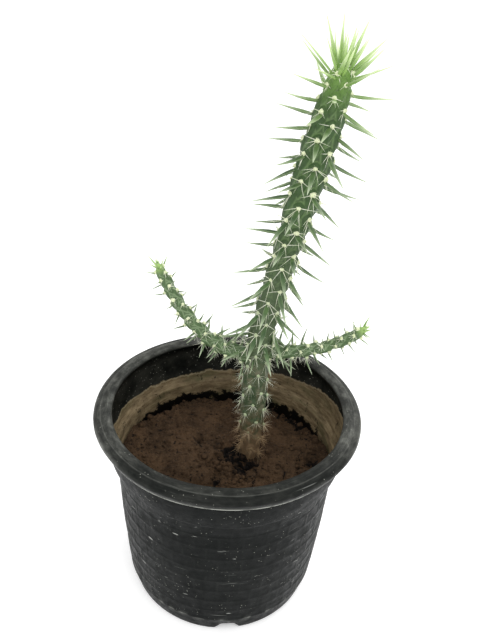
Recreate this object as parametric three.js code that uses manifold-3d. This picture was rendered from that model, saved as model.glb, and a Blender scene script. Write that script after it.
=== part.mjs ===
// A young Eve's-needle cactus in a round nursery pot. Millimetres, +Z up, origin at the centre of the
// pot's flat underside, with the plant leaning towards +X and its two side arms in the XZ plane.
import * as THREE from "three";
import { mergeVertices } from "three/addons/utils/BufferGeometryUtils.js";
import Module from "manifold-3d";

const wasm = await Module();
wasm.setup();

// Pot
const RIM_RADIUS = 100;
const POT_HEIGHT = 167.2;
const BASE_RADIUS = 72;
const WALL = 2;
const FLOOR = 3;
const FOOT_HEIGHT = 12;
const FOOT_INNER_RADIUS = 64;
const POT_SIDES = 64;
const BRICK_TOP = 126.5;
const NOTCHES = 4;
const NOTCH_TURN = THREE.MathUtils.degToRad(7.2);
const NOTCH_WIDTH = 21;
const NOTCH_TOP_WIDTH = 8;
const NOTCH_HEIGHT = 9.5;
const NOTCH_DEPTH = 12;
const DRAIN_HOLES = 8;
const DRAIN_HOLE_RADIUS = 4;
const DRAIN_CIRCLE = 48;
const HOLE_SIDES = 12;

// Plant
const GAP = 0.3;
const SOIL_LEVEL = 118;
const SOIL_RADIUS = 81.2;
const SOIL_SIDES = 48;
const STEM_X = 18.5;
const STEM_FOOT = 92;
const STEM_TOP = 417;
const BEND_HEIGHT = 222;
const BEND_SOFTNESS = 8;
const LEAN = 0.195;
const STEM_SIDES = 20;
const STEM_RINGS = 36;
const ARM_SIDES = 12;
const ARM_RINGS = 18;
const ARM_ROUNDED_FROM = 0.85;
const LEFT_ARM_RADII = [6.1, 4.2];
const RIGHT_ARM_RADII = [5.2, 3.8];

// Leaves
const LEAVES = 50;
const GOLDEN_ANGLE = THREE.MathUtils.degToRad(137.508);
const LEAF_DROOP = 17;
const LEAF_LENGTH = 23;
const LEAF_EXTRA_AT_TIP = 6;
const LEAF_RADIUS = 1.7;
const LEAF_SIDES = 7;

function material(color, roughness) {
  return new THREE.MeshStandardMaterial({ color, roughness, metalness: 0 });
}

const blackPlastic = material("#23262a", 0.55);
const darkSoil = material("#3a2c22", 0.95);
const stemGreen = material("#4f7341", 0.6);
const armGreen = material("#5d8549", 0.6);
const leafGreen = material("#7fae5e", 0.5);

function solid(geometry) {
  const bare = geometry.clone();
  bare.deleteAttribute("normal");
  bare.deleteAttribute("uv");
  const merged = mergeVertices(bare, 1e-3);
  return new wasm.Manifold(
    new wasm.Mesh({
      numProp: 3,
      vertProperties: merged.attributes.position.array,
      triVerts: new Uint32Array(merged.index.array),
    }),
  );
}

function geometryOf(manifold) {
  const mesh = manifold.getMesh();
  const geometry = new THREE.BufferGeometry();
  geometry.setAttribute("position", new THREE.BufferAttribute(mesh.vertProperties, 3));
  geometry.setIndex(new THREE.BufferAttribute(mesh.triVerts, 1));
  return geometry;
}

// A profile of [radius, height] points turned about +Z.
function turned(profile, sides) {
  const points = profile.map(([r, z]) => new THREE.Vector2(r, z));
  return new THREE.LatheGeometry(points, sides).rotateX(Math.PI / 2);
}

function named(name, geometry, look) {
  const mesh = new THREE.Mesh(geometry, look);
  mesh.name = name;
  return mesh;
}

// The pot: a notched foot ring, a tapering wall, a flaring collar above the brick band, and a rolled rim
// with a hanging lip.
function pot() {
  const outside = [
    [0, 0],
    [BASE_RADIUS, 0],
    [BASE_RADIUS + 1.2, 2],
    [BASE_RADIUS + 4.6, 15],
    [BASE_RADIUS + 6.5, 34],
    [BASE_RADIUS + 9.1, 69],
    [BASE_RADIUS + 11.5, 116],
    [BASE_RADIUS + 13.2, BRICK_TOP],
    [BASE_RADIUS + 16.5, BRICK_TOP + 4],
    [BASE_RADIUS + 19, BRICK_TOP + 14],
    [BASE_RADIUS + 20.2, BRICK_TOP + 27],
    [BASE_RADIUS + 20.2, POT_HEIGHT - 7],
  ];
  const rim = [
    [RIM_RADIUS - 6.4, POT_HEIGHT - 7],
    [RIM_RADIUS - 4.4, POT_HEIGHT - 11.2],
    [RIM_RADIUS - 2.8, POT_HEIGHT - 11.4],
    [RIM_RADIUS - 0.6, POT_HEIGHT - 7],
    [RIM_RADIUS, POT_HEIGHT - 4.6],
    [RIM_RADIUS - 1.2, POT_HEIGHT - 2],
    [RIM_RADIUS - 4.6, POT_HEIGHT - 0.8],
    [RIM_RADIUS - 6.4, POT_HEIGHT - 0.2],
    [RIM_RADIUS - 9.5, POT_HEIGHT],
    [RIM_RADIUS - 13.8, POT_HEIGHT - 1.5],
    [RIM_RADIUS - 12.5, POT_HEIGHT - 4],
    [RIM_RADIUS - 10, POT_HEIGHT - 7],
  ];
  const inside = outside
    .slice(2, -1)
    .reverse()
    .map(([r, z]) => [r - WALL, Math.max(z, FOOT_HEIGHT)]);
  const floor = [
    [FOOT_INNER_RADIUS, FOOT_HEIGHT],
    [FOOT_INNER_RADIUS, FLOOR],
    [0, FLOOR],
  ];
  let body = solid(turned([...outside, ...rim, ...inside, ...floor], POT_SIDES));
  const below = NOTCH_WIDTH - NOTCH_TOP_WIDTH / 2;
  const notchShape = new THREE.Shape([
    new THREE.Vector2(-below, -NOTCH_HEIGHT),
    new THREE.Vector2(below, -NOTCH_HEIGHT),
    new THREE.Vector2(NOTCH_TOP_WIDTH / 2, NOTCH_HEIGHT),
    new THREE.Vector2(-NOTCH_TOP_WIDTH / 2, NOTCH_HEIGHT),
  ]);
  for (let i = 0; i < NOTCHES; i += 1) {
    const notch = new THREE.ExtrudeGeometry(notchShape, { depth: NOTCH_DEPTH, bevelEnabled: false });
    notch.rotateX(Math.PI / 2).translate(0, -BASE_RADIUS + NOTCH_DEPTH / 2, 0);
    notch.rotateZ(NOTCH_TURN + (2 * Math.PI * i) / NOTCHES);
    body = body.subtract(solid(notch));
  }
  for (let i = 0; i < DRAIN_HOLES; i += 1) {
    const hole = new THREE.CylinderGeometry(DRAIN_HOLE_RADIUS, DRAIN_HOLE_RADIUS, 4 * FLOOR, HOLE_SIDES);
    hole.rotateX(Math.PI / 2).translate(DRAIN_CIRCLE, 0, 0);
    hole.rotateZ((2 * Math.PI * (i + 0.5)) / DRAIN_HOLES);
    body = body.subtract(solid(hole));
  }
  return geometryOf(body);
}

// The stem's centre line: upright out of the soil, then leaning steadily above the arms.
class StemLine extends THREE.Curve {
  getPoint(t, target = new THREE.Vector3()) {
    const z = THREE.MathUtils.lerp(STEM_FOOT, STEM_TOP, t);
    const above = BEND_SOFTNESS * Math.log1p(Math.exp((z - BEND_HEIGHT) / BEND_SOFTNESS));
    return target.set(STEM_X + LEAN * above, 0, z);
  }
}

// Straight interpolation in a list of [where, value] pairs.
function along(pairs, where) {
  const next = pairs.findIndex(([at]) => at >= where);
  if (next === 0) return pairs[0][1];
  if (next < 0) return pairs[pairs.length - 1][1];
  const [a, from] = pairs[next - 1];
  const [b, to] = pairs[next];
  return THREE.MathUtils.lerp(from, to, (where - a) / (b - a));
}

// Stem radius against height.
const stemRadii = [
  [STEM_FOOT, 0],
  [STEM_FOOT + 3, 4],
  [STEM_FOOT + 20, 6],
  [126, 7.4],
  [140, 8.5],
  [165, 9.3],
  [205, 9],
  [240, 8.2],
  [305, 8.4],
  [330, 9.6],
  [365, 10.6],
  [385, 10.2],
  [400, 9],
  [409, 7],
  [STEM_TOP - 2, 3.8],
  [STEM_TOP, 0],
];

// Carries a [radius, distance] profile along a curve that lies in the XZ plane.
function carried(curve, profile, sides) {
  const geometry = turned(profile, sides);
  const length = curve.getLength();
  const position = geometry.attributes.position;
  for (let i = 0; i < position.count; i += 1) {
    const t = THREE.MathUtils.clamp(position.getZ(i) / length, 0, 1);
    const centre = curve.getPointAt(t);
    const tangent = curve.getTangentAt(t);
    const across = position.getX(i);
    position.setXYZ(
      i,
      centre.x + across * tangent.z,
      position.getY(i),
      centre.z - across * tangent.x,
    );
  }
  return geometry;
}

function stemProfile(extra) {
  const line = new StemLine();
  const length = line.getLength();
  return Array.from({ length: STEM_RINGS + 1 }, (_, i) => {
    const z = line.getPointAt(i / STEM_RINGS).z;
    const end = i === 0 || i === STEM_RINGS;
    return [end ? 0 : along(stemRadii, z) + extra, (length * i) / STEM_RINGS];
  });
}

function armProfile(curve, [base, tip]) {
  const length = curve.getLength();
  return Array.from({ length: ARM_RINGS + 1 }, (_, i) => {
    const t = i / ARM_RINGS;
    const past = Math.max(0, t - ARM_ROUNDED_FROM) / (1 - ARM_ROUNDED_FROM);
    const radius = THREE.MathUtils.lerp(base, tip, t) * Math.sqrt(Math.max(0, 1 - past ** 2));
    return [i === 0 ? 0 : radius, length * t];
  });
}

const stemLine = new StemLine();
const leftArmLine = new THREE.CubicBezierCurve3(
  new THREE.Vector3(14, 0, 213),
  new THREE.Vector3(-12, 0, 210),
  new THREE.Vector3(-34, 0, 236),
  new THREE.Vector3(-53, 0, 282),
);
const rightArmLine = new THREE.CubicBezierCurve3(
  new THREE.Vector3(24, 0, 216),
  new THREE.Vector3(50, 0, 215),
  new THREE.Vector3(75, 0, 222),
  new THREE.Vector3(94, 0, 241),
);

// An arm, cut back from the stem it grows out of.
function arm(curve, radii) {
  const whole = solid(carried(curve, armProfile(curve, radii), ARM_SIDES));
  const room = solid(carried(stemLine, stemProfile(GAP), STEM_SIDES));
  return geometryOf(whole.subtract(room));
}

// The soil fills the pot up to its level, and is cut back from the stem that stands in it.
function soil() {
  const profile = [
    [0, FLOOR + GAP],
    [FOOT_INNER_RADIUS - GAP, FLOOR + GAP],
    [FOOT_INNER_RADIUS - GAP, FOOT_HEIGHT + GAP],
    [BASE_RADIUS - 1.3, FOOT_HEIGHT + GAP],
    [BASE_RADIUS + 2, 15],
    [BASE_RADIUS + 4, 34],
    [BASE_RADIUS + 6.5, 69],
    [SOIL_RADIUS, SOIL_LEVEL - 4],
    [SOIL_RADIUS - 1.5, SOIL_LEVEL],
    [STEM_X + 20, SOIL_LEVEL],
    [0, SOIL_LEVEL],
  ];
  const room = solid(carried(stemLine, stemProfile(GAP), STEM_SIDES));
  return geometryOf(solid(turned(profile, SOIL_SIDES)).subtract(room));
}

// Leaf number i, counted from the growing tip: its distance from the tip along the stem.
function leafDistance(i) {
  return 2.05 * i - 14 * (1 - Math.exp(-i / 8));
}

// An awl-shaped leaf standing on the stem, raised steeply at the tip and drooping a little lower down.
function leaf(i) {
  const fromTip = leafDistance(i);
  const z = STEM_TOP - 1 - fromTip;
  const t = (z - STEM_FOOT) / (STEM_TOP - STEM_FOOT);
  const centre = stemLine.getPoint(t);
  const up = stemLine.getTangent(t);
  const side = new THREE.Vector3(up.z, 0, -up.x);
  const turn = i * GOLDEN_ANGLE;
  const out = side
    .clone()
    .multiplyScalar(Math.cos(turn))
    .addScaledVector(new THREE.Vector3(0, 1, 0), Math.sin(turn));
  const rise = THREE.MathUtils.degToRad(98 * Math.exp(-fromTip / 13) - LEAF_DROOP);
  const direction = out.clone().multiplyScalar(Math.cos(rise)).addScaledVector(up, Math.sin(rise));
  const grown = LEAF_LENGTH + LEAF_EXTRA_AT_TIP * Math.exp(-fromTip / 45);
  const length = grown * (1 - 0.2 * Math.exp(-fromTip / 5));
  const profile = [
    [0, 0],
    [LEAF_RADIUS * 0.75, 0.3],
    [LEAF_RADIUS, length * 0.25],
    [LEAF_RADIUS * 0.7, length * 0.6],
    [0, length],
  ];
  const geometry = turned(profile, LEAF_SIDES);
  const lay = new THREE.Quaternion().setFromUnitVectors(new THREE.Vector3(0, 0, 1), direction);
  const reach = along(stemRadii, z) + GAP + LEAF_RADIUS * Math.abs(Math.sin(rise)) + 0.2;
  const root = centre.addScaledVector(out, reach);
  return geometry.applyQuaternion(lay).translate(root.x, root.y, root.z);
}

const plant = new THREE.Group();
plant.add(
  named("main_stem", carried(stemLine, stemProfile(0), STEM_SIDES), stemGreen),
  named("left_arm", arm(leftArmLine, LEFT_ARM_RADII), armGreen),
  named("right_arm", arm(rightArmLine, RIGHT_ARM_RADII), armGreen),
);
for (let i = 1; i <= LEAVES; i += 1) {
  plant.add(named(`leaf_${String(i).padStart(2, "0")}`, leaf(i), leafGreen));
}

const pottedCactus = new THREE.Group();
pottedCactus.add(named("pot", pot(), blackPlastic), named("soil", soil(), darkSoil), plant);

export default pottedCactus;
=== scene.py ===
"""A young Eve's-needle cactus in a black nursery pot: its looks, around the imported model.

Lengths are metres, +Z up, the origin under the middle of the pot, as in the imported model."""

import bpy
import numpy as np
from mathutils import Matrix


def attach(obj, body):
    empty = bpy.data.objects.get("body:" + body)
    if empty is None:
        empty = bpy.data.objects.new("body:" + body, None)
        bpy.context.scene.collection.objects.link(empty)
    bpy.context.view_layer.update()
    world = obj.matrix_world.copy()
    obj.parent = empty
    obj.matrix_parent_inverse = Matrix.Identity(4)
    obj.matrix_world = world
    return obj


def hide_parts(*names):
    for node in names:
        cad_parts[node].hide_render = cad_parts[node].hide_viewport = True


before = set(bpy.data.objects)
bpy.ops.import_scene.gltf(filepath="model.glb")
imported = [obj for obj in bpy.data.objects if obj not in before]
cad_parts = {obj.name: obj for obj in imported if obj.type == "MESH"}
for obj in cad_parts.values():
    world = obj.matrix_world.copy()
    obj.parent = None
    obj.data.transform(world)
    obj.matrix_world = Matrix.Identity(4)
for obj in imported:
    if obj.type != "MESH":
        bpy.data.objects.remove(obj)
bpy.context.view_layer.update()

# ---------------------------------------------------------------- camera
# A phone held at arm's length above the pot and a little to the right, looking down on it with a
# slight twist of the wrist.

CAMERA_PLACE = (0.0074, -0.4173, 0.4945)
CAMERA_DOWN = 31.3
CAMERA_TWIST = 3.55
CAMERA_LENS = 39.4

camera_data = bpy.data.cameras.new("camera")
camera_data.lens = CAMERA_LENS
camera_data.clip_end = 100
camera = bpy.data.objects.new("camera", camera_data)
camera.matrix_world = (
    Matrix.Translation(CAMERA_PLACE)
    @ Matrix.Rotation(np.radians(90 - CAMERA_DOWN), 4, "X")
    @ Matrix.Rotation(np.radians(CAMERA_TWIST), 4, "Z")
)
bpy.context.scene.collection.objects.link(camera)
bpy.context.scene.camera = camera

# ---------------------------------------------------------------- pot: shape
# One piece of black polypropylene, injection moulded: a band of brick relief that tapers down to
# a notched foot, a plain flaring collar above it, and a rolled rim with a hanging lip.

RIM_RADIUS = 0.100
POT_HEIGHT = 0.1672
BASE_RADIUS = 0.072
POT_WALL = 0.002
POT_FLOOR = 0.0105
BRICK_TOP = 0.1265
BRICK_ROWS = 9
BRICK_ROW_HEIGHT = 0.0123
BRICKS_ROUND = 30
BAND_RADIUS = 0.080  # about the middle of the brick band, where lengths round the pot are measured
JOINT_HEIGHT = 0.0002
JOINT_WIDTH = 0.0010
NOTCHES = 4
NOTCH_TURN = np.radians(7.2)
NOTCH_BASE_HALF = 0.0115
NOTCH_TOP_HALF = 0.0035
NOTCH_HEIGHT = 0.0095
DRAIN_HOLES = 8
DRAIN_CIRCLE = 0.048
DRAIN_RADIUS = 0.004
DRAIN_DEPTH = 0.003


def smooth(x):
    """A ramp that eases from 0 to 1: 3x^2 - 2x^3 of x held between 0 and 1."""
    x = np.clip(x, 0, 1)
    return x * x * (3 - 2 * x)


def noise(points, scale, seed):
    """Smooth noise from -1 to 1: random numbers on a lattice of the given size, blended between its
    corners by the eased ramp in each of the three directions."""
    p = points / scale
    cell = np.floor(p).astype(np.int64)
    part = smooth(p - cell)
    total = np.zeros(p.shape[:-1])
    for corner in range(8):
        step = np.array([corner & 1, corner >> 1 & 1, corner >> 2 & 1])
        spot = cell + step
        mixed = spot[..., 0] * 374761393 + spot[..., 1] * 668265263 + spot[..., 2] * 2147483647
        mixed = (mixed + seed * 974711) & 0xFFFFFFFF
        mixed = ((mixed ^ (mixed >> 13)) * 1274126177) & 0xFFFFFFFF
        value = ((mixed ^ (mixed >> 16)) & 0xFFFF) / 32767.5 - 1
        weight = np.where(step, part, 1 - part).prod(-1)
        total += value * weight
    return total


def piece(name, points, faces, material):
    """A smooth-shaded mesh object at the origin, riding on the root, from its points and faces."""
    mesh = bpy.data.meshes.new(name)
    mesh.from_pydata(points.reshape(-1, 3).tolist(), [], faces)
    mesh.polygons.foreach_set("use_smooth", np.full(len(mesh.polygons), True))
    mesh.materials.append(material)
    made = bpy.data.objects.new(name, mesh)
    bpy.context.scene.collection.objects.link(made)
    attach(made, "root")
    return made


def grid_faces(rings, columns):
    """Quads between rings of points, one after another, whose columns run round and join."""
    ring = np.arange(rings - 1)[:, None] * columns
    above = ring + columns
    column = np.arange(columns)[None, :]
    right = (column + 1) % columns
    corners = np.broadcast_arrays(ring + column, ring + right, above + right, above + column)
    return np.stack(corners, -1).reshape(-1, 4)


def closed_faces(rings, columns):
    """The quads of a grid of rings, and a flat face over its first and its last ring."""
    faces = grid_faces(rings, columns).tolist()
    faces.append(list(range(columns))[::-1])
    faces.append(list(range((rings - 1) * columns, rings * columns)))
    return faces


def give(made, name, values):
    """Stores one number per vertex under a name that a material can read."""
    attribute = made.data.attributes.new(name, "FLOAT", "POINT")
    attribute.data.foreach_set("value", np.asarray(values, np.float32).ravel())


# The pot's outline as points of radius and height: up the outside from the foot, under the hanging
# lip, over the rolled rim, and down the inside.
pot_outside = np.array([
    (BASE_RADIUS, 0.0),
    (BASE_RADIUS + 0.0012, 0.002),
    (BASE_RADIUS + 0.0046, 0.015),
    (BASE_RADIUS + 0.0065, 0.034),
    (BASE_RADIUS + 0.0091, 0.069),
    (BASE_RADIUS + 0.0115, 0.116),
    (BASE_RADIUS + 0.0132, BRICK_TOP),
    (BASE_RADIUS + 0.0165, BRICK_TOP + 0.004),
    (BASE_RADIUS + 0.0190, BRICK_TOP + 0.014),
    (BASE_RADIUS + 0.0202, BRICK_TOP + 0.027),
    (BASE_RADIUS + 0.0202, POT_HEIGHT - 0.007),
])
pot_lip = np.array([
    (RIM_RADIUS - 0.0064, POT_HEIGHT - 0.0070),
    (RIM_RADIUS - 0.0046, POT_HEIGHT - 0.0108),
    (RIM_RADIUS - 0.0040, POT_HEIGHT - 0.0114),
    (RIM_RADIUS - 0.0030, POT_HEIGHT - 0.0114),
    (RIM_RADIUS - 0.0025, POT_HEIGHT - 0.0109),
])
band_turn = np.radians(np.linspace(-58, 72, 11))
pot_roll = np.stack([
    RIM_RADIUS - 0.0060 + 0.0060 * np.cos(band_turn),
    POT_HEIGHT - 0.0050 + 0.0042 * np.sin(band_turn) - 0.0016 * (band_turn < -0.6),
], -1)
pot_inner_edge = np.array([
    (RIM_RADIUS - 0.0048, POT_HEIGHT - 0.0010),
    (RIM_RADIUS - 0.0053, POT_HEIGHT - 0.0012),
    (RIM_RADIUS - 0.0058, POT_HEIGHT - 0.0008),
    (RIM_RADIUS - 0.0070, POT_HEIGHT - 0.0003),
    (RIM_RADIUS - 0.0090, POT_HEIGHT - 0.0001),
    (RIM_RADIUS - 0.0112, POT_HEIGHT - 0.0004),
    (RIM_RADIUS - 0.0129, POT_HEIGHT - 0.0013),
    (RIM_RADIUS - 0.0137, POT_HEIGHT - 0.0026),
    (RIM_RADIUS - 0.0128, POT_HEIGHT - 0.0044),
    (RIM_RADIUS - 0.0105, POT_HEIGHT - 0.0070),
])
pot_inside = pot_outside[1:-1][::-1] - (POT_WALL, 0)
pot_inside[:, 1] = np.maximum(pot_inside[:, 1], POT_FLOOR)
inside_heights = np.unique(np.r_[pot_inside[:, 1], np.arange(0.104, 0.154, 0.0012)].round(6))[::-1]
inside_radii = np.interp(inside_heights, pot_inside[::-1, 1], pot_inside[::-1, 0])
pot_inside = np.stack([inside_radii, inside_heights], -1)


def radius_at(height, outline):
    """The outline's radius at each height, straight between its points."""
    return np.interp(height, outline[:, 1], outline[:, 0])


def towards_back(turn):
    """How far round to the back a turn is, 0 to 1: the eased ramp of its sine."""
    return smooth((np.sin(turn) - 0.05) / 0.55)


# Rings and columns crowd at the raised joints between the bricks, and are sparse between them.
joint_heights = BRICK_TOP - BRICK_ROW_HEIGHT * np.arange(BRICK_ROWS + 1)
ring_steps = np.array([-0.0010, -0.0005, 0.0005, 0.0010, 0.0043, 0.0080])
wall_heights = (joint_heights[:, None] + ring_steps).ravel()
wall_heights = np.unique(np.r_[wall_heights, pot_outside[:, 1], 0.004, 0.006, 0.009])
wall_heights = wall_heights[(wall_heights >= 0) & (wall_heights <= POT_HEIGHT - 0.007)]
pot_wall_outline = np.stack([radius_at(wall_heights, pot_outside), wall_heights], -1)
drain_rings = np.arange(DRAIN_CIRCLE - 0.0048, DRAIN_CIRCLE + 0.0050, 0.0008)
underside_radii = np.r_[0.004, 0.030, drain_rings, 0.060, BASE_RADIUS - 0.0060, BASE_RADIUS - 0.0022]
pot_underside = np.stack([underside_radii, 0 * underside_radii], -1)
first_wall = len(pot_underside)
first_lip = first_wall + len(pot_wall_outline)
first_inside = first_lip + len(pot_lip) + len(pot_roll) + len(pot_inner_edge) - 1
pot_outline = np.concatenate(
    [pot_underside, pot_wall_outline, pot_lip, pot_roll, pot_inner_edge, pot_inside]
)
column_steps = np.array([-0.0010, -0.0005, 0.0005, 0.0010, 0.0026, 0.0042, 0.0058]) / BAND_RADIUS
around = (np.arange(2 * BRICKS_ROUND)[:, None] * np.pi / BRICKS_ROUND + column_steps).ravel()
ring_radius, around_all = np.meshgrid(pot_outline[:, 0], around, indexing="ij")
ring_height = np.repeat(pot_outline[:, 1:], len(around), 1)
ring_number = np.repeat(np.arange(len(pot_outline))[:, None], len(around), 1)
on_wall = (ring_number >= first_wall) & (ring_number < first_lip)

row_number = (BRICK_TOP - ring_height) / BRICK_ROW_HEIGHT
along_brick = around_all / (2 * np.pi) * BRICKS_ROUND + 0.5 * (np.floor(row_number) % 2)
to_upright = np.abs(along_brick - np.round(along_brick)) * 2 * np.pi * BAND_RADIUS / BRICKS_ROUND
to_level = np.abs(row_number - np.round(row_number)) * BRICK_ROW_HEIGHT
inside_rows = (row_number > 0) & (row_number < BRICK_ROWS)
near_rows = (row_number > -0.1) & (row_number < BRICK_ROWS + 0.1)
nearest = np.where(inside_rows, np.minimum(to_upright, to_level), to_level)
joint = smooth((JOINT_WIDTH - nearest) / (JOINT_WIDTH / 2)) * near_rows * on_wall
round_points = np.stack([np.cos(around_all) * 2.5, np.sin(around_all) * 2.5, ring_height * 25], -1)
dents = noise(round_points, 1.0, 4) * smooth((ring_height - 0.01) / 0.05)
away_from_front = smooth((1 - np.abs(np.sin(around_all)) * (np.sin(around_all) < 0) - 0.12) / 0.5)
pot_radius = ring_radius + JOINT_HEIGHT * joint * (0.3 + 0.9 * away_from_front) + 0.0004 * dents

notch_turn = ((around_all - NOTCH_TURN) / (2 * np.pi) * NOTCHES + NOTCHES / 4 + 0.5) % 1 - 0.5
from_notch = np.abs(notch_turn) * 2 * np.pi * BASE_RADIUS / NOTCHES
notch_slope = (from_notch - NOTCH_TOP_HALF) / (NOTCH_BASE_HALF - NOTCH_TOP_HALF)
notch_roof = NOTCH_HEIGHT * (1 - smooth(notch_slope))
at_foot = (ring_height < NOTCH_HEIGHT) & (ring_number >= first_wall - 1) & (ring_number < first_lip)
pot_height = np.where(at_foot, np.maximum(ring_height, notch_roof), ring_height)
drain_turn = around_all / (2 * np.pi) * DRAIN_HOLES % 1 - 0.5
from_drain = np.hypot(ring_radius - DRAIN_CIRCLE, drain_turn * 2 * np.pi * DRAIN_CIRCLE / DRAIN_HOLES)
in_drain = smooth((DRAIN_RADIUS + 0.0004 - from_drain) / 0.0008) * (ring_number < first_wall)
pot_height = pot_height + DRAIN_DEPTH * in_drain
pot_points = np.stack([pot_radius * np.cos(around_all), pot_radius * np.sin(around_all), pot_height], -1)
pot_faces = closed_faces(*pot_points.shape[:2])

# ---------------------------------------------------------------- pot: finish
# Black plastic that has stood outdoors: grey dust in the relief and on the rim, a scuffed pale lip,
# short scratches across the front, and dried mud on the inner wall above the soil. Painted sheen
# pales the dust in the relief and on the rim towards the sides, painted highlights run along the
# rim's widest edge and the top of the foot, and near-black painted shade fills the crevice by the
# soil and the drain holes.


class Nodes:
    """A new material's node tree, with a short call for each kind of node used here. Calls take and
    return sockets, or plain numbers and colours in their place."""

    def __init__(self, name, **sockets):
        self.material = bpy.data.materials.new(name)
        self.material.use_nodes = True
        self.tree = self.material.node_tree
        self.shader = self.tree.nodes["Principled BSDF"]
        for socket, value in sockets.items():
            self.shader.inputs[socket.replace("_", " ")].default_value = value
        self.place = self.tree.nodes.new("ShaderNodeTexCoord").outputs["Object"]

    def link(self, source, target):
        """Joins a source to a socket, or sets the socket where the source is a number or a colour."""
        if isinstance(source, (int, float, tuple)):
            target.default_value = source
        else:
            self.tree.links.new(source, target)

    def node(self, kind, output, settings=(), **inputs):
        """A node of a kind with its settings made and its inputs linked. Gives the named output."""
        node = self.tree.nodes.new("ShaderNode" + kind)
        for setting, value in settings:
            setattr(node, setting, value)
        for name, source in inputs.items():
            self.link(source, node.inputs[name.replace("_", " ")])
        return node.outputs[output]

    def attribute(self, name):
        return self.node("Attribute", "Fac", [("attribute_name", name)])

    def height(self):
        return self.node("SeparateXYZ", "Z", Vector=self.place)

    def stretched(self, x, y, z):
        """Places on the piece, scaled along each axis."""
        return self.node("Mapping", "Vector", Vector=self.place, Scale=(x, y, z))

    def across_wall(self, x, z):
        """Places on the pot unrolled flat: distance round it, and distance up its outline."""
        distance_round = self.times(self.attribute("round"), x)
        distance_up = self.times(self.attribute("girth"), z)
        return self.node("CombineXYZ", "Vector", X=distance_round, Z=distance_up)

    def cloud(self, scale, detail=4.0, rough=0.6, place=None):
        place = place or self.place
        return self.node("TexNoise", "Fac", Vector=place, Scale=scale, Detail=detail, Roughness=rough)

    def cells(self, scale):
        return self.node("TexVoronoi", "Distance", Vector=self.place, Scale=scale)

    def ramp(self, source, low, high, start=0.0, end=1.0):
        """The eased ramp: from start, where the source is low, to end, where it is high."""
        ends = {"From_Min": low, "From_Max": high, "To_Min": start, "To_Max": end}
        return self.node("MapRange", "Result", [("interpolation_type", "SMOOTHSTEP")], Value=source, **ends)

    def patches(self, cloud, low, high, start=0.0, end=1.0):
        """A cloud, given by its scale, detail, roughness and place, passed through a ramp."""
        return self.ramp(self.cloud(*cloud), low, high, start, end)

    def ragged(self, source, cloud, low, wander):
        """A number with a cloud's middle range added to it, up to the wander either way, so that an
        edge drawn from it comes out ragged."""
        return self.plus(source, self.patches(cloud, low, 1 - low, -wander, wander))

    def combined(self, operation, a, b):
        node = self.tree.nodes.new("ShaderNodeMath")
        node.operation = operation
        self.link(a, node.inputs[0])
        self.link(b, node.inputs[1])
        return node.outputs[0]

    def times(self, a, b):
        return self.combined("MULTIPLY", a, b)

    def plus(self, a, b):
        return self.combined("ADD", a, b)

    def within(self, name, amount):
        """An amount kept to where the attribute of that name is."""
        return self.times(self.attribute(name), amount)

    def mix(self, amount, a, b):
        """Colour a where the amount is 0, and b where it is 1."""
        return self.node("Mix", "Result", [("data_type", "RGBA")], Factor=amount, A=a, B=b)

    def layers(self, colour, *over):
        """A colour with others laid over it in turn, each given with its own amount."""
        for amount, laid in over:
            colour = self.mix(amount, colour, laid)
        return colour

    def bump(self, source, depth, strength=1.0):
        raised = self.node("Bump", "Normal", Distance=depth, Strength=strength, Height=source)
        self.link(raised, self.shader.inputs["Normal"])

    def colour(self, source):
        self.link(source, self.shader.inputs["Base Color"])

    def roughness(self, source):
        self.link(source, self.shader.inputs["Roughness"])


def rgb(red, green, blue):
    """A linear colour from the 0 to 255 numbers on a paint chart."""
    chart = np.array([red, green, blue]) / 255
    return (*np.where(chart > 0.04045, ((chart + 0.055) / 1.055) ** 2.4, chart / 12.92).tolist(), 1.0)


plastic = Nodes("pot_plastic", Specular_IOR_Level=0.075)
fine_dust = plastic.patches((420, 6, 0.75), 0.5, 0.78)
broad_dust = plastic.patches((22, 4, 0.6), 0.38, 0.72)
dust = plastic.times(plastic.times(fine_dust, broad_dust), 0.11)
# Grey dust in the relief's joints, made paler towards the sides as painted sheen.
joint_dust_and_sheen = plastic.within("joint", plastic.ramp(broad_dust, 0.0, 1.0, 0.4, 1.0))
# Grey dust on the rim, with painted sheen added towards the sides through the rim amount.
rim_dust_and_sheen = plastic.patches((260, 7, 0.7, plastic.across_wall(0.35, 1.0)), 0.38, 0.72, 0.10, 0.34)
rim_patches = plastic.patches((24, 5, 0.68), 0.38, 0.66, 0.6, 1.8)
rim_dust_and_sheen = plastic.within("rim", plastic.times(rim_dust_and_sheen, rim_patches))
# Pale scuffs on the lip, with painted highlights along the rim's widest edge and the top edge of the foot.
lip_wear_and_highlight = plastic.within("lip", plastic.patches((110, 5, 0.7), 0.36, 0.6, 0.35, 1.15))
# Short pale scratches and hairlines run round the wall, and specks of grit cling to it.
scratches = plastic.patches((230, 2, 0.5, plastic.across_wall(0.32, 1.5)), 0.675, 0.72)
scratch_area = plastic.patches((34, 2, 0.5), 0.47, 0.56)
scratches = plastic.within("wall", plastic.times(scratches, scratch_area))
hairlines = plastic.patches((420, 2, 0.5, plastic.across_wall(0.06, 1.6)), 0.66, 0.72, 0.0, 0.35)
hairlines = plastic.times(hairlines, plastic.patches((40, 2, 0.5), 0.5, 0.62))
specks = plastic.ramp(plastic.cells(360), 0.15, 0.07)
specks = plastic.times(specks, plastic.patches((60, 2, 0.5), 0.46, 0.6))
film = plastic.within("inside", plastic.patches((60, 5, 0.65), 0.35, 0.7, 0.01, 0.10))
inside_specks = plastic.within("inside", plastic.ramp(plastic.cells(300), 0.17, 0.07))
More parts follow.
